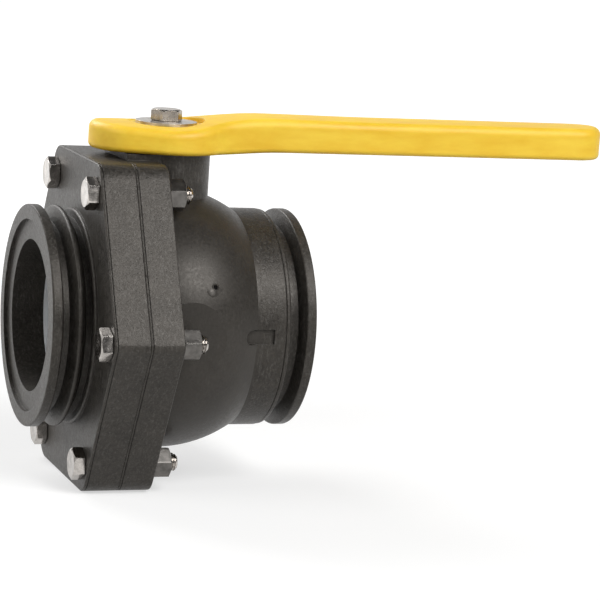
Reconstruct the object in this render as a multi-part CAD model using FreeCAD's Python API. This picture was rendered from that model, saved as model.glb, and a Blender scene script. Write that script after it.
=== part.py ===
import FreeCAD, Part
import math
import os

# Flanged ball valve, full port, two-piece bolted body, moulded lever.
# Millimetres. X runs along the pipe from inlet to outlet, Z up the stem,
# and the origin is the centre of the ball.

os.makedirs("parts", exist_ok=True)
V = FreeCAD.Vector
ORIGIN = V(0, 0, 0)
AXIS_X = V(1, 0, 0)
AXIS_Z = V(0, 0, 1)

# Port and clamp ends
PORT_R = 38.1             # full bore of a 3 in valve
GASKET_STEP = 10.1        # recess beyond the port, for the gasket between two ends
GASKET_DEPTH = 2.0
FACE_WIDTH = 7.45         # flat ring round the recess
CLAMP_RIM_LENGTH = 4.8
CLAMP_TAPER_LENGTH = 2.4  # sloped back of the rim, where the clamp bears
CLAMP_GROOVE_WALL = 9.9
CLAMP_EDGE_ROUND = 0.7

# Ball, its chamber and the bowl round it
BALL_WALL = 19.4          # from the port to the outside of the ball
CHAMBER_CLEARANCE = 1.5
BODY_WALL = 7.5
GATE_FLAT_DEPTH = 2.5     # flat on either side of the bowl
SPIGOT_LENGTH = 3.0
SPIGOT_CLEARANCE = 0.15
SPIGOT_WALL = 6.85

# Seats
SEAT_BALL_GAP = 0.3
SEAT_WALL = 7.25
SEAT_LIP = 5.4            # length of the seat's own bore, behind the ball
SEAT_LENGTH = 10.85
SEAT_POCKET_CLEARANCE = 0.15
SEAT_RING_SPACE = 3.5     # rebate for the ring behind the seat
RING_CLEARANCE = 0.1
SEAT_TO_FACE = 18.55

# Neck of the inlet cap, measured back from its face
CAP_GROOVE_END = 10.1
CAP_RING_RAMP = 3.0       # steep front of the ring, then its crest and its heel
CAP_RING_CREST = 1.8
CAP_RING_HEEL = 3.0
CAP_RING_BELOW_RIM = 0.35
CAP_RING_ROUND = 1.2
CAP_WAIST_WALL = 4.5
CAP_PAD_STEP = 4.4
CAP_PAD_HEIGHT = 1.7
CAP_PAD_ROUND = 1.3

# Neck of the body at the outlet
NECK_BELOW_RIM = 0.05
OUTLET_GROOVE_LENGTH = 6.2
NECK_LIP_LENGTH = 2.4
NECK_LIP_DROP = 0.3
NECK_LIP_ROUND = 0.9
NECK_LINE_DEPTH = 0.8
NECK_LINE_HALF_WIDTH = 0.4

# Body bolts
BOLT_COUNT = 6
BOLT_R = 4.7625           # 3/8 in
BOLT_HOLE_CLEARANCE = 0.45
HEX_FLATS_PER_BOLT_R = 3.0
HEX_TOP_SHARE = 0.96      # flat top of a head or nut, as a share of its flats
HEX_CHAMFER_ANGLE = 33.0
HEX_OVERRUN = 0.1
HEAD_HEIGHT = 5.95
NUT_HEIGHT = 9.3
BOLT_STICK_OUT = 4.0
BOLT_TIP_CHAMFER = 0.8

# Hexagonal bolting flanges and the ring between them
CAP_FLANGE_THICK = 17.5
BODY_FLANGE_THICK = 17.3
SPLIT_FROM_STEM = 27.4
FACE_RING_FROM_CHAMBER = 5.2
FACE_RING_GROOVE_WIDTH = 4.0
FACE_RING_GROOVE_DEPTH = 3.0
RING_TO_BOLT = 6.1        # wall between the ring's groove and a bolt hole
BOLT_TO_SIDE_CORNER = 11.0
BOLT_TO_TOP = 14.5
BOLT_TO_TOP_CORNER = 3.85
SIDE_CORNER_ROUND = 5.0
TOP_CORNER_ROUND = 12.0
FLANGE_EDGE_ROUND = 0.8
FLANGE_BACK_ROUND = 0.6
FLANGE_LINE_BACK = 1.1    # fine groove round the edge, behind the front face
FLANGE_LINE_WIDTH = 0.5
FLANGE_LINE_DEPTH = 0.5

# Stem
STEM_R = 11.0
STEM_CLEARANCE = 0.05
COLLAR_STEP = 4.0
COLLAR_HEIGHT = 4.7
COLLAR_CLEARANCE = 0.3
COLLAR_ABOVE_BALL = 0.8
THRUST_WASHER_THICK = 1.5
TONGUE_IN_COLLAR = 3.0
TONGUE_THICK = 9.0
TONGUE_DEPTH = 9.3
SLOT_CLEARANCE = 0.15
SLOT_FLOOR_CLEARANCE = 0.5
STEM_RING_GROOVE_DEPTH = 2.6
STEM_RING_GROOVE_WIDTH = 3.6
STEM_RING_BELOW_TOP = 6.2
STEM_RING_PITCH = 7.0
STEM_SQUARE_CORNER_IN = 0.75
STEM_SQUARE_CLEARANCE = 0.15
STEM_TOP_BELOW_SPOT = 0.8
STEM_SHOULDER_GAP = 0.03  # between the stem's shoulder and the lever

# Quarter-turn stop between tower and lever
STOP_FROM_STEM = 3.4
STOP_WIDTH = 5.7
STOP_DEPTH = 2.8
STOP_GAP = 0.3
STOP_HALF_ANGLE = 20.0
STOP_OPEN_ANGLE = 135.0
STOP_END_ANGLE = 1.0
QUARTER_TURN = 90.0

# Tower that carries the stem
TOWER_WALL = 2.6          # outside the stop's recess
TOWER_ABOVE_FLANGE = 3.1
WEB_IN_TOWER = 1.4
WEB_FROM_SPLIT = 2.0

# Lever
LEVER_GAP = 0.3
LEVER_TIP = 239.0
HUB_BEYOND_TOWER = 6.6
HUB_CENTRE = 2.0
LOBE_IN_HUB = 5.6
LOBE_CENTRE = -15.1
GRIP_HALF_WIDTH = 16.5
GRIP_START = 62.0
HUB_LEAVE_ANGLE = 52.0    # where the hub's arc runs into the neck
NECK_PULL = 0.42          # shares that shape the neck's curve
NECK_HUB_PULL = 0.75
HUB_THICK = 14.0
GRIP_THICK = 18.3
GRIP_LIFT = 1.3           # the grip's underside above the hub's
RISE_START = -8.0         # where the top starts to rise towards the grip
RISE_END = 52.0
HUMP_HEIGHT = 0.5         # slight hump where the rise ends
HUMP_FADE_END = 110.0
LIFT_START = 25.0
LIFT_END = 58.0
CROWN_R = 183.0           # the top is gently rounded from side to side
LEVER_TOP_ROUND = 4.0
LEVER_FOOT_ROUND = 2.5
LEVER_BLANK = 40.0        # height of the blank that the lever is cut from
LEVER_OVERRUN = 5.0
LEVER_STATIONS = 36
SPOT_DEPTH = 1.0
SPOT_BEYOND_WASHER = 4.1
CORE_WALL = 4.5
CORE_ROOF = 6.0
CORE_START = 62.0
CORE_COUNT = 6
CORE_RIB = 3.0
CORE_CORNER_ROUND = 3.0

# Lever screw and washer
LEVER_WASHER_R = 15.4
LEVER_WASHER_THICK = 1.5
LEVER_SCREW_LENGTH = 21.0
SCREW_HOLE_CLEARANCE = 0.1
SCREW_HOLE_EXTRA = 3.0

# Pocket for a screwdriver on the side of the body's neck
PRY_POCKET_START = 29.5
PRY_POCKET_END = 45.5
PRY_POCKET_HALF_HEIGHT = 3.7
PRY_POCKET_DEPTH = 1.4
PRY_POCKET_Z = -0.5

# Sizes worked out from the ones above, from the port outwards
ball_r = PORT_R + BALL_WALL
chamber_r = ball_r + CHAMBER_CLEARANCE
body_r = chamber_r + BODY_WALL
gate_flat = body_r - GATE_FLAT_DEPTH
spigot_r = chamber_r - SPIGOT_CLEARANCE
spigot_inner_r = spigot_r - SPIGOT_WALL
seat_ball_r = ball_r + SEAT_BALL_GAP
seat_outer_r = PORT_R + SEAT_WALL
seat_pocket_r = seat_outer_r + SEAT_POCKET_CLEARANCE
seat_rebate_r = seat_outer_r - SEAT_RING_SPACE
seat_back = math.sqrt(seat_ball_r ** 2 - PORT_R ** 2) + SEAT_LIP
face_from_stem = seat_back + SEAT_TO_FACE
gasket_r = PORT_R + GASKET_STEP
clamp_rim_r = gasket_r + FACE_WIDTH
clamp_groove_r = PORT_R + CLAMP_GROOVE_WALL
cap_ring_r = clamp_rim_r - CAP_RING_BELOW_RIM
cap_waist_r = seat_pocket_r + CAP_WAIST_WALL
cap_pad_r = cap_waist_r + CAP_PAD_STEP
neck_r = clamp_rim_r - NECK_BELOW_RIM

bolt_hole_r = BOLT_R + BOLT_HOLE_CLEARANCE
screw_hole_r = BOLT_R + SCREW_HOLE_CLEARANCE
hex_flats = BOLT_R * HEX_FLATS_PER_BOLT_R
hex_corner_r = hex_flats / math.sqrt(3)
cap_front = SPLIT_FROM_STEM + CAP_FLANGE_THICK
body_flange_back = SPLIT_FROM_STEM - BODY_FLANGE_THICK
both_flanges = CAP_FLANGE_THICK + BODY_FLANGE_THICK
face_ring_r = chamber_r + FACE_RING_FROM_CHAMBER
bolt_circle_r = face_ring_r + FACE_RING_GROOVE_WIDTH / 2 + RING_TO_BOLT + bolt_hole_r
flange_half_width = bolt_circle_r + BOLT_TO_SIDE_CORNER
flange_half_height = bolt_circle_r * math.sqrt(3) / 2 + BOLT_TO_TOP
flange_top_half = bolt_circle_r / 2 + BOLT_TO_TOP_CORNER

collar_r = STEM_R + COLLAR_STEP
collar_foot = ball_r + COLLAR_ABOVE_BALL
collar_top = collar_foot + COLLAR_HEIGHT
thrust_top = collar_top + THRUST_WASHER_THICK
shoulder_z = thrust_top + COLLAR_CLEARANCE
tongue_half = collar_r - TONGUE_IN_COLLAR
slot_floor = collar_foot - TONGUE_DEPTH - SLOT_FLOOR_CLEARANCE
stop_inner_r = STEM_R + STOP_FROM_STEM
stop_outer_r = stop_inner_r + STOP_WIDTH
tower_r = stop_outer_r + STOP_GAP + TOWER_WALL
tower_top = flange_half_height + TOWER_ABOVE_FLANGE
web_half_width = tower_r - WEB_IN_TOWER
lever_foot = tower_top + LEVER_GAP
stem_ring_r = STEM_R - STEM_RING_GROOVE_DEPTH
stem_ring_upper_z = tower_top - STEM_RING_BELOW_TOP
stem_ring_lower_z = stem_ring_upper_z - STEM_RING_PITCH
square_half = (STEM_R - STEM_SQUARE_CORNER_IN) / math.sqrt(2)

hub_r = tower_r + HUB_BEYOND_TOWER
lobe_r = hub_r - LOBE_IN_HUB
hub_top = lever_foot + HUB_THICK
grip_top = lever_foot + GRIP_THICK
spot_floor = hub_top - SPOT_DEPTH
spot_r = LEVER_WASHER_R + SPOT_BEYOND_WASHER
stem_top = spot_floor - STEM_TOP_BELOW_SPOT
washer_top = spot_floor + LEVER_WASHER_THICK
pry_floor = neck_r - PRY_POCKET_DEPTH


def revolved(points, axis=AXIS_X):
    """Solid turned from a closed outline of (along, radius) points."""
    if axis == AXIS_X:
        corners = [V(along, 0, radius) for along, radius in points]
    else:
        corners = [V(radius, 0, along) for along, radius in points]
    wire = Part.makePolygon(corners + corners[:1])
    return Part.Face(wire).revolve(ORIGIN, axis, 360)


def rod_x(start, end, radius):
    """Round bar along X between two stations."""
    return Part.makeCylinder(radius, end - start, V(start, 0, 0), AXIS_X)


def rod_z(start, end, radius):
    """Round bar along Z between two heights."""
    return Part.makeCylinder(radius, end - start, V(0, 0, start), AXIS_Z)


def block(x0, x1, y0, y1, z0, z1):
    return Part.makeBox(x1 - x0, y1 - y0, z1 - z0, V(x0, y0, z0))


def rounded_outline(corners, radii):
    """Closed wire through the corners, each one turned by a tangent arc."""
    edges = []
    count = len(corners)
    joins = []
    for i in range(count):
        here, before, after = corners[i], corners[i - 1], corners[(i + 1) % count]
        into = (before - here).normalize()
        out = (after - here).normalize()
        half = into.getAngle(out) / 2
        reach = radii[i] / math.tan(half)
        middle = (into + out).normalize()
        centre = here + middle * (radii[i] / math.sin(half))
        joins.append((here + into * reach, centre - middle * radii[i], here + out * reach))
    for i in range(count):
        start, middle, end = joins[i]
        edges.append(Part.Arc(start, middle, end).toShape())
        edges.append(Part.LineSegment(end, joins[(i + 1) % count][0]).toShape())
    return Part.Wire(edges)


def circle_edges(shape, radius, x):
    """Full circles about X of one radius at one station."""
    return [e for e in shape.Edges
            if hasattr(e.Curve, "Radius") and abs(e.Curve.Radius - radius) < 0.01
            and abs(e.Curve.Center.x - x) < 0.01]


def hexagon_plate(start, thick, end_round):
    """Bolting flange from X = start, its edges rounded, with a fine groove round it."""
    corners = [V(0, flange_half_width, 0), V(0, flange_top_half, flange_half_height),
               V(0, -flange_top_half, flange_half_height), V(0, -flange_half_width, 0),
               V(0, -flange_top_half, -flange_half_height), V(0, flange_top_half, -flange_half_height)]
    radii = [SIDE_CORNER_ROUND, TOP_CORNER_ROUND, TOP_CORNER_ROUND,
             SIDE_CORNER_ROUND, TOP_CORNER_ROUND, TOP_CORNER_ROUND]
    outline = rounded_outline(corners, radii)
    plate = Part.Face(outline).extrude(V(thick, 0, 0))
    for x, size in ((0, FLANGE_EDGE_ROUND), (thick, end_round)):
        if size > 0:
            rim = [e for e in plate.Edges if all(abs(v.X - x) < 0.01 for v in e.Vertexes)]
            plate = plate.makeFillet(size, rim)
    around = Part.Face(outline.makeOffset2D(1))
    groove = around.cut(Part.Face(outline.makeOffset2D(-FLANGE_LINE_DEPTH)))
    groove = groove.extrude(V(FLANGE_LINE_WIDTH, 0, 0))
    groove.translate(V(FLANGE_LINE_BACK, 0, 0))
    plate = plate.cut(groove)
    plate.translate(V(start, 0, 0))
    return plate


def bolt_places():
    """Centres of the body bolts in the plane of the flanges."""
    places = []
    for i in range(BOLT_COUNT):
        angle = 2 * math.pi * i / BOLT_COUNT
        places.append((-bolt_circle_r * math.cos(angle), bolt_circle_r * math.sin(angle)))
    return places


def bolt_holes(start, end):
    holes = [Part.makeCylinder(bolt_hole_r, end - start, V(start, y, z), AXIS_X)
             for y, z in bolt_places()]
    return Part.makeCompound(holes)


def seat_pocket():
    """Room for one seat, on the outlet side, open towards the ball."""
    return rod_x(0, seat_back, seat_pocket_r)


def mirrored(shape):
    return shape.mirror(ORIGIN, AXIS_X)


def face_ring_groove():
    outer = face_ring_r + FACE_RING_GROOVE_WIDTH / 2
    inner = face_ring_r - FACE_RING_GROOVE_WIDTH / 2
    start = -SPLIT_FROM_STEM
    end = start + FACE_RING_GROOVE_DEPTH
    return rod_x(start, end, outer).cut(rod_x(start, end, inner))


def stop_sector(inner, outer, middle_angle, half_angle, z0, z1):
    """Part of a ring about Z, used for the stop's lug and its recess."""
    ring = Part.makeCylinder(outer, z1 - z0, V(0, 0, z0), AXIS_Z, 2 * half_angle)
    ring = ring.cut(rod_z(z0, z1, inner))
    ring.rotate(ORIGIN, AXIS_Z, middle_angle - half_angle)
    return ring


def make_end_cap():
    face = -face_from_stem
    rim_back = face + CLAMP_RIM_LENGTH
    taper_back = rim_back + CLAMP_TAPER_LENGTH
    ring_foot = face + CAP_GROOVE_END
    ring_front = ring_foot + CAP_RING_RAMP
    ring_back = ring_front + CAP_RING_CREST
    ring_heel = ring_back + CAP_RING_HEEL
    plate_front = -cap_front
    pad_front = plate_front - CAP_PAD_HEIGHT
    neck = revolved([
        (face, PORT_R), (face, clamp_rim_r), (rim_back, clamp_rim_r),
        (taper_back, clamp_groove_r), (ring_foot, clamp_groove_r),
        (ring_front, cap_ring_r), (ring_back, cap_ring_r), (ring_heel, cap_waist_r),
        (pad_front, cap_waist_r), (pad_front, cap_pad_r),
        (plate_front + 1, cap_pad_r), (plate_front + 1, PORT_R)])
    neck = neck.makeFillet(CAP_RING_ROUND, circle_edges(neck, cap_ring_r, ring_back)
                           + circle_edges(neck, cap_ring_r, ring_front))
    neck = neck.makeFillet(CAP_PAD_ROUND, circle_edges(neck, cap_pad_r, pad_front))
    neck = neck.makeFillet(CLAMP_EDGE_ROUND, circle_edges(neck, clamp_rim_r, face)
                           + circle_edges(neck, clamp_rim_r, rim_back))
    plate = hexagon_plate(plate_front, CAP_FLANGE_THICK, 0)
    spigot = rod_x(-SPLIT_FROM_STEM - 1, -SPLIT_FROM_STEM + SPIGOT_LENGTH, spigot_r)
    spigot = spigot.cut(rod_x(-SPLIT_FROM_STEM - 1, 0, spigot_inner_r))
    cap = plate.fuse([neck, spigot])
    cap = cap.cut([
        rod_x(face - 1, 0, PORT_R), rod_x(face - 1, face + GASKET_DEPTH, gasket_r),
        mirrored(seat_pocket()), Part.makeSphere(chamber_r),
        bolt_holes(plate_front - 1, -SPLIT_FROM_STEM + 1)])
    return cap.removeSplitter()


def make_valve_body():
    face = face_from_stem
    rim_back = face - CLAMP_RIM_LENGTH
    taper_back = rim_back - CLAMP_TAPER_LENGTH
    lip_back = taper_back - OUTLET_GROOVE_LENGTH
    line_x = lip_back - NECK_LIP_LENGTH
    lip_r = neck_r - NECK_LIP_DROP
    neck = revolved([
        (0, 0), (0, neck_r), (line_x - NECK_LINE_HALF_WIDTH, neck_r),
        (line_x, neck_r - NECK_LINE_DEPTH), (line_x + NECK_LINE_HALF_WIDTH, lip_r),
        (lip_back, lip_r), (lip_back, clamp_groove_r), (taper_back, clamp_groove_r),
        (rim_back, clamp_rim_r), (face, clamp_rim_r), (face, 0)])
    neck = neck.makeFillet(NECK_LIP_ROUND, circle_edges(neck, lip_r, lip_back))
    neck = neck.makeFillet(CLAMP_EDGE_ROUND, circle_edges(neck, clamp_rim_r, face)
                           + circle_edges(neck, clamp_rim_r, rim_back))
    reach = 2 * body_r
    bowl = Part.makeSphere(body_r)
    bowl = bowl.cut([block(-reach, -SPLIT_FROM_STEM, -reach, reach, -reach, reach),
                     block(lip_back, reach, -reach, reach, -reach, reach),
                     block(-reach, reach, -reach, -gate_flat, -reach, reach),
                     block(-reach, reach, gate_flat, reach, -reach, reach)])
    tower = rod_z(0, tower_top, tower_r)
    web = block(-SPLIT_FROM_STEM + WEB_FROM_SPLIT, 0, -web_half_width, web_half_width,
                0, tower_top)
    plate = hexagon_plate(-SPLIT_FROM_STEM, BODY_FLANGE_THICK, FLANGE_BACK_ROUND)
    body = bowl.fuse([neck, tower, web, plate])
    pocket_mid = PRY_POCKET_START + PRY_POCKET_HALF_HEIGHT
    pry_pocket = block(pocket_mid, PRY_POCKET_END, -body_r, -pry_floor,
                       PRY_POCKET_Z - PRY_POCKET_HALF_HEIGHT, PRY_POCKET_Z + PRY_POCKET_HALF_HEIGHT)
    pry_end = Part.makeCylinder(PRY_POCKET_HALF_HEIGHT, body_r - pry_floor,
                                V(pocket_mid, -body_r, PRY_POCKET_Z), V(0, 1, 0))
    stop_recess = stop_sector(
        stop_inner_r - STOP_GAP, stop_outer_r + STOP_GAP, STOP_OPEN_ANGLE - QUARTER_TURN / 2,
        STOP_HALF_ANGLE + QUARTER_TURN / 2 + STOP_END_ANGLE,
        tower_top - STOP_DEPTH, tower_top + 1)
    body = body.cut([
        Part.makeSphere(chamber_r), rod_x(-SPLIT_FROM_STEM - 1, 0, chamber_r),
        seat_pocket(), rod_x(0, face + 1, PORT_R), rod_x(face - GASKET_DEPTH, face + 1, gasket_r),
        rod_z(0, tower_top + 1, STEM_R + STEM_CLEARANCE),
        rod_z(0, shoulder_z, collar_r + COLLAR_CLEARANCE),
        face_ring_groove(), bolt_holes(-SPLIT_FROM_STEM - 1, -body_flange_back + 1),
        stop_recess, pry_pocket, pry_end])
    return body.removeSplitter()


def make_ball():
    slot_half = TONGUE_THICK / 2 + SLOT_CLEARANCE
    ball = Part.makeSphere(ball_r)
    return ball.cut([rod_x(-ball_r, ball_r, PORT_R),
                     block(-slot_half, slot_half, -ball_r, ball_r, slot_floor, ball_r + 1)])


def make_seat():
    """Seat on the outlet side: bore, ball face, rebate for its ring."""
    seat_front = seat_back - SEAT_LENGTH
    rebate_front = seat_back - SEAT_RING_SPACE
    seat = revolved([
        (seat_front, PORT_R), (seat_front, seat_outer_r),
        (rebate_front, seat_outer_r), (rebate_front, seat_rebate_r),
        (seat_back, seat_rebate_r), (seat_back, PORT_R)])
    return seat.cut(Part.makeSphere(seat_ball_r))


def make_seat_ring():
    """Ring in the seat's rebate, squeezed between seat and pocket."""
    section = SEAT_RING_SPACE / 2 - RING_CLEARANCE
    middle = (seat_rebate_r + seat_pocket_r) / 2
    return Part.makeTorus(middle, section, V(seat_back - SEAT_RING_SPACE / 2, 0, 0), AXIS_X)


def make_face_ring():
    section = FACE_RING_GROOVE_DEPTH / 2 - RING_CLEARANCE
    place = V(-SPLIT_FROM_STEM + FACE_RING_GROOVE_DEPTH / 2, 0, 0)
    return Part.makeTorus(face_ring_r, section, place, AXIS_X)


def make_stem():
    groove_half = STEM_RING_GROOVE_WIDTH / 2
    stem = rod_z(collar_foot, collar_top, collar_r)
    shaft = rod_z(collar_foot, lever_foot - STEM_SHOULDER_GAP, STEM_R)
    tongue = block(-TONGUE_THICK / 2, TONGUE_THICK / 2, -tongue_half, tongue_half,
                   collar_foot - TONGUE_DEPTH, collar_foot + 1)
    square = block(-square_half, square_half, -square_half, square_half, collar_top, stem_top)
    stem = stem.fuse([shaft, tongue, square])
    for z in (stem_ring_lower_z, stem_ring_upper_z):
        groove = rod_z(z - groove_half, z + groove_half, STEM_R + 1)
        stem = stem.cut(groove.cut(rod_z(z - groove_half, z + groove_half, stem_ring_r)))
    hole_foot = washer_top - LEVER_SCREW_LENGTH - SCREW_HOLE_EXTRA
    return stem.cut(rod_z(hole_foot, stem_top + 1, screw_hole_r)).removeSplitter()


def make_stem_ring(z):
    space = STEM_R + STEM_CLEARANCE - stem_ring_r
    section = space / 2 - RING_CLEARANCE
    return Part.makeTorus(stem_ring_r + space / 2, section, V(0, 0, z), AXIS_Z)


def make_thrust_washer():
    ring = rod_z(collar_top, thrust_top, collar_r)
    return ring.cut(rod_z(collar_top, thrust_top, STEM_R + SLOT_CLEARANCE))


def lever_plan():
    """Outline of the lever from above: lobe, hub, tapering neck, round tip."""
    tip_centre = LEVER_TIP - GRIP_HALF_WIDTH
    spread = HUB_CENTRE - LOBE_CENTRE
    tilt = math.acos((hub_r - lobe_r) / spread)
    lobe_end = V(LOBE_CENTRE - lobe_r * math.cos(tilt), lobe_r * math.sin(tilt), 0)
    hub_start = V(HUB_CENTRE - hub_r * math.cos(tilt), hub_r * math.sin(tilt), 0)
    leave = math.radians(HUB_LEAVE_ANGLE)
    hub_end = V(HUB_CENTRE + hub_r * math.cos(leave), hub_r * math.sin(leave), 0)
    slope = V(math.sin(leave), -math.cos(leave), 0)
    grip_end = V(GRIP_START, GRIP_HALF_WIDTH, 0)
    pull = (GRIP_START - hub_end.x) * NECK_PULL
    neck = Part.BezierCurve()
    neck.setPoles([hub_end, hub_end + slope * (pull * NECK_HUB_PULL), grip_end - V(pull, 0, 0), grip_end])
    near = [
        Part.Arc(V(LOBE_CENTRE - lobe_r, 0, 0),
                 V(LOBE_CENTRE - lobe_r * math.cos(tilt / 2), lobe_r * math.sin(tilt / 2), 0),
                 lobe_end).toShape(),
        Part.LineSegment(lobe_end, hub_start).toShape(),
        Part.Arc(hub_start, V(HUB_CENTRE, hub_r, 0), hub_end).toShape(),
        neck.toShape(),
        Part.LineSegment(grip_end, V(tip_centre, GRIP_HALF_WIDTH, 0)).toShape()]
    tip = Part.Arc(V(tip_centre, GRIP_HALF_WIDTH, 0), V(LEVER_TIP, 0, 0),
                   V(tip_centre, -GRIP_HALF_WIDTH, 0)).toShape()
    far = [edge.mirror(ORIGIN, V(0, 1, 0)) for edge in near]
    return Part.Wire(Part.__sortEdges__(near + [tip] + far))


def smooth_share(x, start, end):
    """Share of a smooth rise that is done at x, from 0 to 1."""
    t = min(1, max(0, (x - start) / (end - start)))
    return t * t * (3 - 2 * t)


def lever_stations():
    """Evenly spaced places along the lever."""
    start = LOBE_CENTRE - lobe_r - LEVER_OVERRUN
    end = LEVER_TIP + LEVER_OVERRUN
    return [start + (end - start) * i / LEVER_STATIONS for i in range(LEVER_STATIONS + 1)]


def under_lever_top():
    """Solid below the lever's top, which rises to the grip and is crowned."""
    wide = hub_r + LEVER_OVERRUN
    grid = []
    for x in lever_stations():
        hump = smooth_share(x, RISE_START, RISE_END) - smooth_share(x, RISE_END, HUMP_FADE_END)
        rise = (grip_top - hub_top) * smooth_share(x, RISE_START, RISE_END)
        top = hub_top + rise + HUMP_HEIGHT * hump
        across = [wide * i / 3 for i in range(-3, 4)]
        grid.append([V(x, y, top - CROWN_R + math.sqrt(CROWN_R ** 2 - y ** 2)) for y in across])
    surface = Part.BSplineSurface()
    surface.interpolate(grid)
    return surface.toShape().extrude(V(0, 0, -LEVER_BLANK))


def under_lever_foot():
    """Solid below the lever's underside, which lifts a little at the grip."""
    wide = hub_r + LEVER_OVERRUN
    points = [V(x, -wide, lever_foot + GRIP_LIFT * smooth_share(x, LIFT_START, LIFT_END))
              for x in lever_stations()]
    line = Part.BSplineCurve()
    line.interpolate(points)
    return line.toShape().extrude(V(0, 2 * wide, 0)).extrude(V(0, 0, -LEVER_BLANK))


def lever_cores():
    """Pockets cored into the grip's underside, with ribs left between them."""
    half = GRIP_HALF_WIDTH - CORE_WALL
    end = LEVER_TIP - GRIP_HALF_WIDTH
    pitch = (end - CORE_START + CORE_RIB) / CORE_COUNT
    roof = grip_top - CORE_ROOF
    cores = []
    for i in range(CORE_COUNT):
        x = CORE_START + i * pitch
        core = block(x, x + pitch - CORE_RIB, -half, half, tower_top, roof)
        upright = [e for e in core.Edges if abs(e.Vertexes[0].Z - e.Vertexes[1].Z) > 1]
        cores.append(core.makeFillet(CORE_CORNER_ROUND, upright))
    return cores


def make_handle():
    plan = Part.Face(lever_plan())
    plan.translate(V(0, 0, lever_foot - LEVER_BLANK / 4))
    lever = plan.extrude(V(0, 0, LEVER_BLANK)).common(under_lever_top()).cut(under_lever_foot())
    middle = (lever_foot + hub_top) / 2
    top_rim = [e for e in lever.Edges if e.BoundBox.ZMin > middle]
    lever = lever.makeFillet(LEVER_TOP_ROUND, top_rim)
    foot_rim = [e for e in lever.Edges if e.BoundBox.ZMax < middle]
    lever = lever.makeFillet(LEVER_FOOT_ROUND, foot_rim)
    hole_half = square_half + STEM_SQUARE_CLEARANCE
    lug = stop_sector(stop_inner_r, stop_outer_r, STOP_OPEN_ANGLE, STOP_HALF_ANGLE,
                      tower_top - STOP_DEPTH + STOP_GAP, lever_foot + 1)
    lever = lever.fuse(lug)
    lever = lever.cut([
        rod_z(spot_floor, spot_floor + LEVER_BLANK, spot_r),
        block(-hole_half, hole_half, -hole_half, hole_half,
              lever_foot - LEVER_BLANK / 2, lever_foot + LEVER_BLANK)] + lever_cores())
    return lever.removeSplitter()


def hex_prism(height):
    """Hexagon bar along Z from zero, with its top corners turned off."""
    corners = [V(hex_corner_r * math.cos(math.radians(60 * i)),
                 hex_corner_r * math.sin(math.radians(60 * i)), 0) for i in range(7)]
    prism = Part.Face(Part.makePolygon(corners)).extrude(V(0, 0, height))
    top_r = hex_flats / 2 * HEX_TOP_SHARE
    drop = (hex_corner_r + HEX_OVERRUN - top_r) * math.tan(math.radians(HEX_CHAMFER_ANGLE))
    turned = revolved([(0, 0), (0, hex_corner_r + HEX_OVERRUN),
                       (height - drop, hex_corner_r + HEX_OVERRUN),
                       (height, top_r), (height, 0)], AXIS_Z)
    return prism.common(turned)


def make_bolt(shank_length):
    """Hexagon bolt standing on Z: head above zero, shank below."""
    shank = revolved([(0, 0), (0, BOLT_R), (BOLT_TIP_CHAMFER - shank_length, BOLT_R),
                      (-shank_length, BOLT_R - BOLT_TIP_CHAMFER), (-shank_length, 0)], AXIS_Z)
    return hex_prism(HEAD_HEIGHT).fuse(shank).removeSplitter()


def along_minus_x(shape, x, y, z):
    """Turns a piece that stands on +Z to point along -X, at its place."""
    shape.rotate(ORIGIN, V(0, 1, 0), -90)
    shape.translate(V(x, y, z))
    return shape


def make_flange_bolt(y, z):
    bolt = make_bolt(both_flanges + NUT_HEIGHT + BOLT_STICK_OUT)
    return along_minus_x(bolt, -cap_front, y, z)


def make_flange_nut(y, z):
    nut = hex_prism(NUT_HEIGHT).cut(rod_z(-1, NUT_HEIGHT + 1, screw_hole_r))
    nut.rotate(ORIGIN, AXIS_Z, 30)
    nut.rotate(ORIGIN, V(0, 1, 0), 90)
    nut.translate(V(-body_flange_back, y, z))
    return nut


def make_lever_screw():
    screw = make_bolt(LEVER_SCREW_LENGTH)
    screw.translate(V(0, 0, washer_top))
    return screw


def make_lever_washer():
    disc = rod_z(spot_floor, washer_top, LEVER_WASHER_R)
    return disc.cut(rod_z(spot_floor, washer_top, screw_hole_r))


def write(node, shape):
    shape.exportStep("parts/" + node + ".step")


write("end_cap", make_end_cap())
write("valve_body", make_valve_body())
write("ball", make_ball())
write("outlet_seat", make_seat())
write("inlet_seat", mirrored(make_seat()))
write("outlet_seat_oring", make_seat_ring())
write("inlet_seat_oring", mirrored(make_seat_ring()))
write("body_oring", make_face_ring())
write("stem", make_stem())
write("stem_thrust_washer", make_thrust_washer())
write("stem_oring_lower", make_stem_ring(stem_ring_lower_z))
write("stem_oring_upper", make_stem_ring(stem_ring_upper_z))
write("handle", make_handle())
write("handle_washer", make_lever_washer())
write("handle_bolt", make_lever_screw())
for number, (bolt_y, bolt_z) in enumerate(bolt_places(), start=1):
    write("flange_bolt_%d" % number, make_flange_bolt(bolt_y, bolt_z))
    write("flange_nut_%d" % number, make_flange_nut(bolt_y, bolt_z))
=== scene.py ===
import math

import bpy
from mathutils import Matrix, Vector, noise


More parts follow.
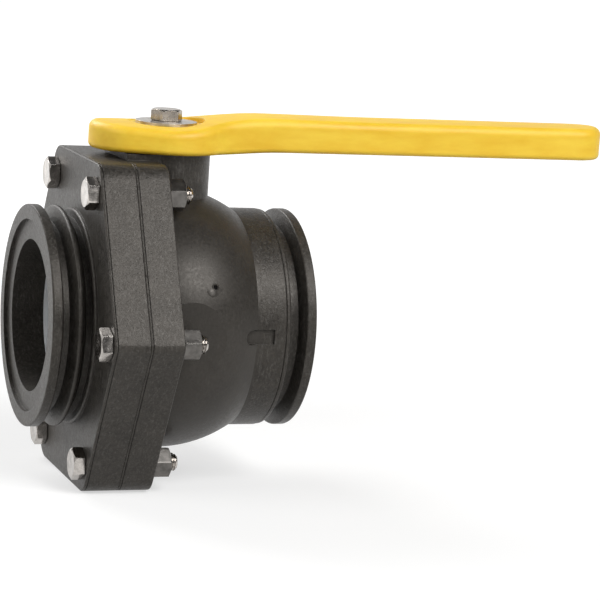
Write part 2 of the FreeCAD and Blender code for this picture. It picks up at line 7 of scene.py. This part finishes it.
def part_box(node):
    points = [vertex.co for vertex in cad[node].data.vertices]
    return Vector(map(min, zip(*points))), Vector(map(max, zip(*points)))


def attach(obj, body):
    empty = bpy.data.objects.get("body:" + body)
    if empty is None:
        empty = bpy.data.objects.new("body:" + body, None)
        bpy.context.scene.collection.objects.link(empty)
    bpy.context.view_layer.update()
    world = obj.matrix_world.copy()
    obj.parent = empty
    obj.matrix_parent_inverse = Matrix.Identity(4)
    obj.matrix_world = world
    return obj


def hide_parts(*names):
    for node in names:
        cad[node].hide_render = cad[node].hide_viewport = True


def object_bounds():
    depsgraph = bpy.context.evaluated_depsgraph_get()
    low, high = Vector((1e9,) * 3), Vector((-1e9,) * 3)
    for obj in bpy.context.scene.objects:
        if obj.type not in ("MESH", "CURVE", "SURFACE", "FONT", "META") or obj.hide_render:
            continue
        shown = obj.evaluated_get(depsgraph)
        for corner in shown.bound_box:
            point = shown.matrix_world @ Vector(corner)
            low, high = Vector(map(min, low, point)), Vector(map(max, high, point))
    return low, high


# A full-port ball valve with a bolted two-piece body, clamp ends and a lever.
# Metres. X runs along the pipe from inlet to outlet and Z up the stem.

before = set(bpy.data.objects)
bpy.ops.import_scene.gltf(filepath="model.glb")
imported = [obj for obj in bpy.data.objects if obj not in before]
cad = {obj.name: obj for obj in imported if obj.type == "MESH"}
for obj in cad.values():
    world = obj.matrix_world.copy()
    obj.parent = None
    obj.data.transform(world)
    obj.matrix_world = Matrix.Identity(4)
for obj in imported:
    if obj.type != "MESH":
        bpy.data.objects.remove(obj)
cad_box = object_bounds()


# Valve body
# The outlet half of the housing: bolting flange, round bowl, neck, clamp end
# and the tower that carries the stem. Injection moulded in one piece from
# glass-filled polypropylene, black right through, with a fine matte grain.

def shader_node(tree, kind, inputs=None, **settings):
    """Adds a node. An input is given a value, or the socket that feeds it."""
    made = tree.nodes.new(kind)
    for name, value in settings.items():
        setattr(made, name, value)
    for name, value in (inputs or {}).items():
        if isinstance(value, bpy.types.NodeSocket):
            tree.links.new(value, made.inputs[name])
        else:
            made.inputs[name].default_value = value
    return made


def new_material(name):
    """A material with one surface shader, and where on the part a point is."""
    material = bpy.data.materials.new(name)
    material.use_nodes = True
    tree = material.node_tree
    place = shader_node(tree, "ShaderNodeTexCoord").outputs["Object"]
    return material, tree, tree.nodes["Principled BSDF"], place


def feed(tree, shader, **sockets):
    """Links sockets to the surface shader's inputs, named with underscores."""
    for name, socket in sockets.items():
        tree.links.new(socket, shader.inputs[name.replace("_", " ")])


def blotches(tree, place, scale, detail=2.0, rough=0.5, seed=0.0):
    """Noise of about 1/scale metres across, from 0 to 1."""
    return shader_node(tree, "ShaderNodeTexNoise", {
        "Vector": place, "Scale": scale, "Detail": detail, "Roughness": rough, "W": seed},
        noise_dimensions="4D").outputs["Fac"]


def between(tree, value, low, high, out_low=0.0, out_high=1.0):
    """Maps value from low..high to out_low..out_high, held at both ends."""
    return shader_node(tree, "ShaderNodeMapRange", {
        "Value": value, "From Min": low, "From Max": high,
        "To Min": out_low, "To Max": out_high}).outputs["Result"]


def two_colours(tree, share, first, second):
    mix = shader_node(tree, "ShaderNodeMix", data_type="RGBA")
    for socket, value in ((mix.inputs[6], first), (mix.inputs[7], second)):
        if isinstance(value, bpy.types.NodeSocket):
            tree.links.new(value, socket)
        else:
            socket.default_value = (*value, 1)
    tree.links.new(share, mix.inputs[0])
    return mix.outputs[2]


def maths(tree, operation, first, second=0.0):
    made = shader_node(tree, "ShaderNodeMath", {0: first, 1: second}, operation=operation)
    return made.outputs["Value"]


def rounded_normal(tree, radius):
    """Rounds the edges in the shading."""
    return shader_node(tree, "ShaderNodeBevel", {"Radius": radius}, samples=6).outputs["Normal"]


def edge_share(tree, soft_normal):
    """How near a point is to an edge, from how far the rounding turns it."""
    true = shader_node(tree, "ShaderNodeNewGeometry").outputs["Normal"]
    turned = shader_node(tree, "ShaderNodeVectorMath", {0: soft_normal, 1: true},
                         operation="DOT_PRODUCT")
    return between(tree, turned.outputs["Value"], 0.995, 0.80)


def black_moulding(name, seed, smooth_radius=None):
    """Black glass-filled plastic. Inside smooth_radius of the ball's centre
    the mould was polished, and there the grain is fainter and more even."""
    material, tree, shader, place = new_material(name)
    soft_normal = rounded_normal(tree, 0.0004)
    grain = blotches(tree, place, 700, 3.0, 0.75, seed)
    flow = blotches(tree, place, 75, 4.0, 0.65, seed + 3)
    specks = between(tree, blotches(tree, place, 760, 1.0, 0.5, seed + 7), 0.64, 0.76)
    upright = shader_node(tree, "ShaderNodeMapping", {"Vector": place, "Scale": (1.0, 1.0, 0.25)})
    streaks = blotches(tree, upright.outputs["Vector"], 900, 3.0, 0.7, seed + 5)
    streaks = between(tree, streaks, 0.52, 0.66)
    tone = maths(tree, "ADD", maths(tree, "MULTIPLY", flow, 0.42), maths(tree, "MULTIPLY", grain, 0.58))
    colour = two_colours(tree, between(tree, tone, 0.36, 0.64),
                         (0.011, 0.0098, 0.0082), (0.052, 0.0469, 0.0408))
    coarse = 1.0
    if smooth_radius:
        away = shader_node(tree, "ShaderNodeVectorMath", {0: place}, operation="LENGTH").outputs["Value"]
        coarse = between(tree, away, smooth_radius, smooth_radius + 0.0008, 0.22, 1.0)
        even = maths(tree, "SUBTRACT", 0.7, maths(tree, "MULTIPLY", coarse, 0.7))
        colour = two_colours(tree, even, colour, (0.033, 0.0298, 0.0262))
    for marks, strength, pale in ((specks, 0.14, (0.17, 0.165, 0.155)),
                                  (streaks, 0.30, (0.16, 0.152, 0.142))):
        share = maths(tree, "MULTIPLY", maths(tree, "MULTIPLY", marks, strength), coarse)
        colour = two_colours(tree, share, colour, pale)
    # Every edge is painted paler: partly rubbed wear, partly a painted highlight along the edges.
    edge_wear_and_highlight = maths(tree, "MULTIPLY", edge_share(tree, soft_normal), 0.14)
    colour = two_colours(tree, edge_wear_and_highlight, colour, (0.105, 0.100, 0.094))
    bump = shader_node(tree, "ShaderNodeBump", {
        "Strength": maths(tree, "MULTIPLY", coarse, 0.9), "Distance": 0.0003,
        "Height": grain, "Normal": soft_normal})
    feed(tree, shader, Base_Color=colour, Normal=bump.outputs["Normal"],
         Roughness=between(tree, grain, 0.35, 0.65, 0.31, 0.49))
    shader.inputs["Specular Tint"].default_value = (1.0, 0.94, 0.87, 1)
    shader.inputs["Specular IOR Level"].default_value = 0.36
    return material


def finish_nodes(material, *names):
    for name in names:
        cad[name].data.materials.clear()
        cad[name].data.materials.append(material)


bowl_radius = 0.0665
body_plastic = black_moulding("moulded_body_plastic", 1.0, smooth_radius=bowl_radius + 0.0002)
finish_nodes(body_plastic, "valve_body")


# Gate mark on the bowl
# Where the plastic was let into the mould a short sprue was twisted off, and
# its torn lip still stands round a small pit. It is part of the moulding.

def add_piece(name, verts, faces, body, slot, material, smooth_angle=35):
    """Makes a mesh object in the part's frame that rides on a body."""
    mesh = bpy.data.meshes.new(name)
    mesh.from_pydata(verts, [], faces)
    mesh.shade_smooth()
    mesh.set_sharp_from_angle(angle=math.radians(smooth_angle))
    mesh.materials.append(material)
    piece = bpy.data.objects.new(name, mesh)
    bpy.context.scene.collection.objects.link(piece)
    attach(piece, body)
    return piece


gate_direction = Vector((0.172, -0.912, 0.376)).normalized()
gate_right = Vector((0, 0, 1)).cross(gate_direction).normalized()
gate_up = gate_direction.cross(gate_right)
pit_radius, pit_edge, gate_reach = 0.0008, 0.0012, 0.0052
nub_height, nub_spread, nub_place = 0.0007, 0.0018, (-0.0021, -0.0021)
lip_height, lip_width = 0.0005, 0.0005
tear_height, tears_per_metre = 0.00012, 1400
skin_rise, outer_dip = 0.00002, 0.00016


def gate_rise(right, up):
    """Height of the torn nub over the bowl, with the pit at the middle. The
    outer edge dips under the bowl's skin."""
    away = math.hypot(right, up)
    from_nub = math.hypot(right - nub_place[0], up - nub_place[1])
    rise = nub_height * math.exp(-(from_nub / nub_spread) ** 2)
    rise += lip_height * math.exp(-((away - pit_edge) / lip_width) ** 2)
    tears = noise.noise((right * tears_per_metre, up * tears_per_metre, 3))
    rise += tear_height * tears * math.exp(-(away / 0.003) ** 2)
    pit = min(1, max(0, (away - pit_radius) / (pit_edge - pit_radius)))
    return rise * pit * pit * (3 - 2 * pit) + skin_rise - outer_dip * (away / gate_reach) ** 4


gate_rings, gate_steps = 34, 48
gate_verts, gate_faces = [], []
for ring in range(gate_rings + 1):
    away = gate_reach * ring / gate_rings
    for step in range(gate_steps):
        turn = 2 * math.pi * step / gate_steps
        right, up = away * math.cos(turn), away * math.sin(turn)
        toward = gate_direction * bowl_radius + gate_right * right + gate_up * up
        gate_verts.append(toward.normalized() * (bowl_radius + gate_rise(right, up)))
for ring in range(gate_rings):
    for step in range(gate_steps):
        a, b = ring * gate_steps + step, ring * gate_steps + (step + 1) % gate_steps
        gate_faces.append((a, a + gate_steps, b + gate_steps, b))
gate_plastic = black_moulding("torn_gate_plastic", 1.0, smooth_radius=bowl_radius + 0.0002)
tree = gate_plastic.node_tree
shader = tree.nodes["Principled BSDF"]
place = tree.nodes["Texture Coordinate"].outputs["Object"]
colour = shader.inputs["Base Color"].links[0].from_socket
torn_place = gate_direction * bowl_radius + gate_right * nub_place[0] + gate_up * nub_place[1]
# Paler towards the nub: partly whitened torn plastic, partly a painted highlight on the nub.
away = shader_node(tree, "ShaderNodeVectorMath", {0: place, 1: torn_place}, operation="DISTANCE")
torn_whitening_and_highlight = between(tree, away.outputs["Value"], 0.0022, 0.0008, 0.0, 0.9)
feed(tree, shader, Base_Color=two_colours(tree, torn_whitening_and_highlight, colour, (0.15, 0.14, 0.13)))
gate_mark = add_piece("gate_mark", gate_verts, gate_faces, "housing", "black_plastic", gate_plastic, 60)

# The pit is only a shallow dip in the mesh. Its faces get a near-black, dull material as painted shade of a
# deep hole.
pit_painted_shade, tree, shader, place = new_material("gate_pit_painted_shade")
feed(tree, shader, Base_Color=two_colours(tree, blotches(tree, place, 1800), (0.001, 0.001, 0.001),
                                          (0.006, 0.005, 0.005)))
shader.inputs["Roughness"].default_value = 0.8
shader.inputs["Specular IOR Level"].default_value = 0.1
gate_mark.data.materials.append(pit_painted_shade)
painted_shade_faces = gate_steps * round(gate_rings * pit_edge / gate_reach)
for face in gate_mark.data.polygons[:painted_shade_faces]:
    face.material_index = 1


# Seats and their rings
# Two white rings of PTFE that the ball turns between, turned from bar. Each
# has a rubber ring behind it, and another rubber ring seals the split line.

def turned_ptfe():
    material, tree, shader, place = new_material("turned_ptfe")
    cloud = blotches(tree, place, 90, 3.0, 0.5, 2.0)
    rings = shader_node(tree, "ShaderNodeTexWave", {
        "Vector": place, "Scale": 900.0, "Distortion": 0.6}, bands_direction="X").outputs["Fac"]
    bump = shader_node(tree, "ShaderNodeBump", {
        "Strength": 0.15, "Distance": 0.00004, "Height": rings, "Normal": rounded_normal(tree, 0.0003)})
    feed(tree, shader, Base_Color=two_colours(tree, cloud, (0.84, 0.86, 0.89), (0.90, 0.92, 0.94)),
         Roughness=between(tree, cloud, 0.3, 0.7, 0.30, 0.42), Normal=bump.outputs["Normal"])
    shader.inputs["Subsurface Weight"].default_value = 0.15
    shader.inputs["Subsurface Radius"].default_value = (0.002, 0.002, 0.002)
    shader.inputs["Subsurface Scale"].default_value = 1.0
    return material


def ring_rubber():
    material, tree, shader, place = new_material("ring_rubber")
    bloom = blotches(tree, place, 260, 4.0, 0.6, 5.0)
    bump = shader_node(tree, "ShaderNodeBump", {"Strength": 0.2, "Distance": 0.00005, "Height": bloom})
    feed(tree, shader, Base_Color=two_colours(tree, bloom, (0.012, 0.012, 0.012), (0.026, 0.026, 0.027)),
         Roughness=between(tree, bloom, 0.3, 0.7, 0.42, 0.58), Normal=bump.outputs["Normal"])
    return material


ptfe = turned_ptfe()
rubber = ring_rubber()
finish_nodes(ptfe, "inlet_seat", "outlet_seat")
finish_nodes(rubber, "inlet_seat_oring", "outlet_seat_oring", "body_oring")


# Ball
# A sphere with a full-bore hole, moulded in the same black plastic as the
# body and then turned smooth, so that the seats run on a satin skin.

def satin_ball_plastic():
    material, tree, shader, place = new_material("satin_ball_plastic")
    flow = blotches(tree, place, 60, 3.0, 0.5, 11.0)
    lines = blotches(tree, shader_node(tree, "ShaderNodeMapping", {
        "Vector": place, "Scale": (1.0, 0.04, 0.04)}).outputs["Vector"], 2600, 2.0, 0.5, 4.0)
    bump = shader_node(tree, "ShaderNodeBump", {
        "Strength": 0.12, "Distance": 0.00004, "Height": lines, "Normal": rounded_normal(tree, 0.0005)})
    feed(tree, shader, Base_Color=two_colours(tree, flow, (0.040, 0.037, 0.034), (0.060, 0.056, 0.052)),
         Roughness=between(tree, flow, 0.3, 0.7, 0.26, 0.36), Normal=bump.outputs["Normal"])
    return material


finish_nodes(satin_ball_plastic(), "ball")


# Stem
# A stainless stem drops its tongue into the ball's slot and carries the lever
# on its square. It was turned and milled; two rubber rings and a PTFE washer
# sit round it inside the tower.

def stainless(name, seed, grain=(1.0, 1.0, 1.0), tone=(0.56, 0.545, 0.52), rough=0.30, bump_strength=0.2):
    """Stainless steel with a drawn grain: small scale along, large across."""
    material, tree, shader, place = new_material(name)
    soft_normal = rounded_normal(tree, 0.00012)
    drawn = shader_node(tree, "ShaderNodeMapping", {"Vector": place, "Scale": grain}).outputs["Vector"]
    lines = blotches(tree, drawn, 1500, 3.0, 0.65, seed)
    stain = blotches(tree, place, 240, 4.0, 0.6, seed + 2)
    dull = tuple(0.68 * part for part in tone)
    colour = two_colours(tree, between(tree, stain, 0.42, 0.62), dull, tone)
    # Every edge is painted paler: partly rubbed wear, partly a painted highlight along the edges.
    edge_wear_and_highlight = maths(tree, "MULTIPLY", edge_share(tree, soft_normal), 0.15)
    colour = two_colours(tree, edge_wear_and_highlight, colour, (0.70, 0.68, 0.65))
    bump = shader_node(tree, "ShaderNodeBump", {
        "Strength": bump_strength, "Distance": 0.00005, "Height": lines, "Normal": soft_normal})
    uneven = maths(tree, "ADD", maths(tree, "MULTIPLY", lines, 0.5), maths(tree, "MULTIPLY", stain, 0.5))
    feed(tree, shader, Base_Color=colour, Normal=bump.outputs["Normal"],
         Roughness=between(tree, uneven, 0.35, 0.65, rough - 0.08, rough + 0.12))
    shader.inputs["Metallic"].default_value = 1.0
    return material


finish_nodes(stainless("turned_stem_steel", 21.0, (0.1, 0.1, 1.0)), "stem")
finish_nodes(ptfe, "stem_thrust_washer")
finish_nodes(rubber, "stem_oring_lower", "stem_oring_upper")


# Inlet cap
# The other half of the housing: a bolting flange with the inlet's clamp end
# and two round ribs on its short neck. Moulded from the body's black plastic.

finish_nodes(black_moulding("moulded_cap_plastic", 31.0), "end_cap")


# Body bolts and nuts
# Six stainless hexagon bolts, 3/8 in with 16 threads to the inch, pull cap and
# body together. The heads are cold forged, and the threads rolled.

inch = 0.0254
across_flats = 0.5625 * inch
thread_radius = 0.1875 * inch
thread_pitch = inch / 16
thread_depth = 0.61 * thread_pitch
bolt_thread, screw_thread = 0.016, 0.014
head_height = 0.00595
chamfer_radius = 0.47 * across_flats
chamfer_slope = math.tan(math.radians(30))
corner_break = 0.00006
nut_low, nut_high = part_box("flange_nut_1")
nut_height = nut_high.x - nut_low.x


def hexagon_radius(turn):
    """Distance from the middle to a hexagon's side, corners just broken."""
    to_corner = abs((turn + math.pi / 6) % (math.pi / 3) - math.pi / 6)
    flat = across_flats / 2 / math.cos(math.pi / 6 - to_corner)
    return min(flat, across_flats / math.sqrt(3) - corner_break)


def joined_rings(rings, close_start=True, close_end=True):
    """Faces between rings of points that have equal counts, with end caps."""
    verts = [point for ring in rings for point in ring]
    count = len(rings[0])
    faces = []
    for i in range(len(rings) - 1):
        for j in range(count):
            a, b = i * count + j, i * count + (j + 1) % count
            faces.append((a, b, b + count, a + count))
    if close_start:
        faces.append(tuple(reversed(range(count))))
    if close_end:
        faces.append(tuple(range(len(verts) - count, len(verts))))
    return verts, faces


def round_ring(radius, z, steps=96):
    turns = [2 * math.pi * i / steps for i in range(steps)]
    return [Vector((radius * math.cos(t), radius * math.sin(t), z)) for t in turns]


def hexagon_ring(z, inset=0.0, steps=96, drop_from=None):
    """Ring along the hexagon. With drop_from it follows the turned chamfer,
    which takes more off the corners than off the flats."""
    ring = []
    for i in range(steps):
        turn = 2 * math.pi * i / steps
        radius = hexagon_radius(turn) - inset
        fall = 0 if drop_from is None else max(0, radius - drop_from) * chamfer_slope
        down = -fall if z > head_height / 2 else fall
        ring.append(Vector((radius * math.cos(turn), radius * math.sin(turn), z + down)))
    return ring


def threaded_rings(radius, start, end, tip_bevel, steps=96, per_turn=10):
    """Rolled thread along Z from start to end: rounded roots, narrow crests."""
    count = int(abs(end - start) / thread_pitch * per_turn)
    rings = []
    for i in range(count + 1):
        z = start + (end - start) * i / count
        ring = []
        for j in range(steps):
            turn = 2 * math.pi * j / steps
            phase = (z / thread_pitch + turn / (2 * math.pi)) % 1
            crest = min(1, max(0, (abs(phase - 0.5) * 2 - 0.10) / 0.78))
            reach = radius - thread_depth * (1 - crest)
            reach = min(reach, radius - tip_bevel + abs(z - end) * 0.9)
            ring.append(Vector((reach * math.cos(turn), reach * math.sin(turn), z)))
        rings.append(ring)
    return rings


def bolt_mesh(length, thread_length):
    """Hexagon bolt on Z: its head stands above zero, its shank below."""
    rings = [round_ring(0.0012, head_height - 0.00012),
             round_ring(chamfer_radius - 0.0008, head_height - 0.00010),
             round_ring(chamfer_radius, head_height)]
    rings.append(hexagon_ring(head_height, 0.00002, drop_from=chamfer_radius))
    rings.append(hexagon_ring(head_height - 0.0002, drop_from=chamfer_radius))
    rings.append(hexagon_ring(0.0004))
    rings.append(hexagon_ring(0.0002, 0.0002))
    rings.append(round_ring(across_flats / 2 - 0.0003, 0.0002))
    rings.append(round_ring(across_flats / 2 - 0.0004, 0.0))
    rings.append(round_ring(thread_radius + 0.0002, 0.0))
    shank_radius = thread_radius - 0.0001
    rings.append(round_ring(shank_radius, -0.0003))
    rings.append(round_ring(shank_radius, -(length - thread_length) + 0.0005))
    rings += threaded_rings(shank_radius, -(length - thread_length), -length, 0.0013)
    rings.append(round_ring(0.6 * thread_radius, -length - 0.00005))
    verts, faces = joined_rings(rings)
    return verts, [tuple(reversed(face)) for face in faces]


def nut_mesh():
    """Hexagon nut on Z with both faces chamfered and a threaded hole."""
    hole = thread_radius + 0.00012
    mouth = hole + 0.0005
    rings = [round_ring(mouth, 0.0), round_ring(chamfer_radius, 0.0),
             hexagon_ring(0.0, drop_from=chamfer_radius),
             hexagon_ring(nut_height, drop_from=chamfer_radius),
             round_ring(chamfer_radius, nut_height), round_ring(mouth, nut_height),
             round_ring(hole, nut_height - 0.0005), round_ring(hole, 0.0005),
             round_ring(mouth, 0.0)]
    return joined_rings(rings, False, False)


bolt_low, bolt_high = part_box("flange_bolt_1")
bolt_length = bolt_high.x - bolt_low.x - head_height
bolt_steel = stainless("forged_bolt_steel", 41.0, tone=(0.58, 0.545, 0.51), rough=0.18)
# The nuts' stainless is given a far darker tone than the bolts': painted shade.
nut_steel_painted_shade = stainless("machined_nut_steel", 47.0, tone=(0.165, 0.156, 0.146), rough=0.33, bump_strength=0.6)
head_turns = (11.0, 4.5, 5.5, 17.0, 4.0, 2.5)
nut_turns = (16.5, 8.5, -4.0, 28.0, -18.0, 19.0)
for number in range(1, 7):
    for kind, mesh_parts, steel in (("bolt", bolt_mesh(bolt_length, bolt_thread), bolt_steel),
                                    ("nut", nut_mesh(), nut_steel_painted_shade)):
        low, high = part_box("flange_%s_%d" % (kind, number))
        middle = (low + high) / 2
        if kind == "bolt":
            place = Matrix.Translation((low.x + head_height, middle.y, middle.z)) @ Matrix.Rotation(
                math.radians(-90), 4, "Y") @ Matrix.Rotation(math.radians(head_turns[number - 1]), 4, "Z")
        else:
            place = Matrix.Translation((low.x, middle.y, middle.z)) @ Matrix.Rotation(
                math.radians(90), 4, "Y") @ Matrix.Rotation(math.radians(nut_turns[number - 1]), 4, "Z")
        piece = add_piece("%s_%d" % (kind, number), *mesh_parts, "housing", "stainless", steel, 28)
        piece.data.transform(place)
        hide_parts("flange_%s_%d" % (kind, number))


# Lever
# One thick moulding in safety-yellow plastic: a round hub with a lobe towards
# the inlet, and a straight grip. It sits on the stem's square, and its lug
# runs in the tower's recess as the quarter-turn stop.

def yellow_moulding():
    material, tree, shader, place = new_material("moulded_yellow_plastic")
    soft_normal = rounded_normal(tree, 0.0008)
    flow = blotches(tree, shader_node(tree, "ShaderNodeMapping", {
        "Vector": place, "Scale": (0.3, 1.0, 1.0)}).outputs["Vector"], 110, 5.0, 0.6, 9.0)
    grain = blotches(tree, place, 1400, 2.0, 0.5, 13.0)
    colour = two_colours(tree, between(tree, flow, 0.36, 0.64), (0.85, 0.515, 0.020), (0.94, 0.64, 0.048))
    # Every edge is painted a paler yellow: partly rubbed wear, partly a painted highlight along the edges.
    edge_wear_and_highlight = maths(tree, "MULTIPLY", edge_share(tree, soft_normal), 0.15)
    colour = two_colours(tree, edge_wear_and_highlight, colour, (0.93, 0.72, 0.22))
    bump = shader_node(tree, "ShaderNodeBump", {
        "Strength": 0.18, "Distance": 0.00008, "Height": grain, "Normal": soft_normal})
    feed(tree, shader, Base_Color=colour, Normal=bump.outputs["Normal"],
         Roughness=between(tree, flow, 0.3, 0.7, 0.42, 0.58))
    shader.inputs["Subsurface Weight"].default_value = 0.12
    shader.inputs["Subsurface Radius"].default_value = (0.003, 0.0018, 0.0006)
    shader.inputs["Subsurface Scale"].default_value = 1.0
    return material


finish_nodes(yellow_moulding(), "handle")


# Lever screw and washer
# A stainless hexagon screw and a wide flat washer hold the lever down on the
# stem, in a round recess in the hub. The washer was punched from sheet.

screw_low, screw_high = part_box("handle_bolt")
screw_steel = stainless("lever_screw_steel", 53.0, tone=(0.44, 0.395, 0.345), rough=0.24)
screw_length = screw_high.z - head_height - screw_low.z
lever_screw = add_piece("lever_screw", *bolt_mesh(screw_length, screw_thread), "lever", "stainless",
                        screw_steel, 28)
lever_screw.data.transform(Matrix.Translation((0, 0, screw_high.z - head_height)))
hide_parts("handle_bolt")

finish_nodes(stainless("washer_sheet_steel", 59.0, (1.0, 0.08, 1.0), (0.70, 0.665, 0.62), 0.36),
             "handle_washer")


# Floor, light and camera
# A pale floor without an edge and a white backdrop, a large soft light in front
# at the right, weaker ones behind and at the left, and a long lens at the
# photograph's place.

floor_mesh = bpy.data.meshes.new("floor")
reach, floor_z = 30.0, cad_box[0].z - 0.0004
floor_mesh.from_pydata([(-reach, -reach, floor_z), (reach, -reach, floor_z),
                        (reach, reach, floor_z), (-reach, reach, floor_z)], [], [(0, 1, 2, 3)])
floor = bpy.data.objects.new("floor", floor_mesh)
bpy.context.scene.collection.objects.link(floor)
floor_material, tree, shader, place = new_material("pale_floor")
shader.inputs["Base Color"].default_value = (0.48, 0.48, 0.477, 1)
shader.inputs["Roughness"].default_value = 0.9
shader.inputs["Specular IOR Level"].default_value = 0.1
ray = shader_node(tree, "ShaderNodeLightPath").outputs
seen = maths(tree, "MAXIMUM", ray["Is Camera Ray"],
             maths(tree, "MAXIMUM", ray["Is Glossy Ray"], ray["Is Transmission Ray"]))
shaded = shader_node(tree, "ShaderNodeBsdfDiffuse", {"Color": (0.45, 0.45, 0.447, 1)}).outputs["BSDF"]
from_valve = shader_node(tree, "ShaderNodeVectorMath", {0: place}, operation="LENGTH").outputs["Value"]
glow = shader_node(tree, "ShaderNodeEmission", {
    "Strength": between(tree, from_valve, 0.25, 1.8, 0.58, 0.98)}).outputs["Emission"]
white = shader_node(tree, "ShaderNodeAddShader", {0: shaded, 1: glow}).outputs["Shader"]
either = shader_node(tree, "ShaderNodeMixShader", {0: seen, 1: shader.outputs["BSDF"], 2: white})
tree.links.new(either.outputs["Shader"], tree.nodes["Material Output"].inputs["Surface"])
floor_mesh.materials.append(floor_material)

world = bpy.data.worlds.new("studio")
bpy.context.scene.world = world
world.use_nodes = True
studio = world.node_tree
background = studio.nodes["Background"]
background.inputs["Color"].default_value = (1.0, 1.0, 1.0, 1)
direction = shader_node(studio, "ShaderNodeSeparateXYZ", {
    "Vector": shader_node(studio, "ShaderNodeTexCoord").outputs["Generated"]}).outputs
behind = maths(studio, "MULTIPLY", between(studio, direction["Y"], 0.1, 0.6),
               between(studio, direction["Z"], 0.7, 0.3))
ray = shader_node(studio, "ShaderNodeLightPath").outputs
mirrored = maths(studio, "MAXIMUM", ray["Is Glossy Ray"], ray["Is Transmission Ray"])
backdrop = maths(studio, "MAXIMUM", ray["Is Camera Ray"], maths(studio, "MULTIPLY", mirrored, behind))
studio.links.new(maths(studio, "MAXIMUM", backdrop, 0.10), background.inputs["Strength"])


def soft_light(name, azimuth, elevation, watts, width=1.0, distance=1.8):
    """A square softbox that looks at the valve. Azimuth 0 is the front."""
    azimuth, elevation = math.radians(azimuth), math.radians(elevation)
    towards = Vector((math.sin(azimuth) * math.cos(elevation), -math.cos(azimuth) * math.cos(elevation),
                      math.sin(elevation)))
    lamp = bpy.data.lights.new(name, "AREA")
    lamp.size, lamp.energy = width, watts
    light = bpy.data.objects.new(name, lamp)
    bpy.context.scene.collection.objects.link(light)
    light.location = Vector((0.03, 0, 0.02)) + towards * distance
    light.rotation_euler = (-towards).to_track_quat("-Z", "Y").to_euler()


soft_light("key_light", 26, 40, 28)
soft_light("back_light", -150, 36, 22)
soft_light("left_light", -75, 28, 11)

camera_place = Vector((-0.38506, -1.28255, 0.23563))
azimuth, elevation, roll = math.radians(-19.83), math.radians(9.46), math.radians(3.74)
camera_back = Vector((math.sin(azimuth) * math.cos(elevation), -math.cos(azimuth) * math.cos(elevation),
                      math.sin(elevation)))
level_right = Vector((math.cos(azimuth), math.sin(azimuth), 0))
level_up = camera_back.cross(level_right)
camera_right = level_right * math.cos(roll) + level_up * math.sin(roll)
camera_up = camera_back.cross(camera_right)
lens = bpy.data.cameras.new("camera")
lens.sensor_width, lens.lens = 36.0, 160.34
lens.clip_start, lens.clip_end = 0.05, 100.0
camera = bpy.data.objects.new("camera", lens)
bpy.context.scene.collection.objects.link(camera)
camera.matrix_world = Matrix.Translation(camera_place) @ Matrix(
    (camera_right, camera_up, camera_back)).transposed().to_4x4()
bpy.context.scene.camera = camera
bpy.context.scene.view_settings.view_transform = "Standard"
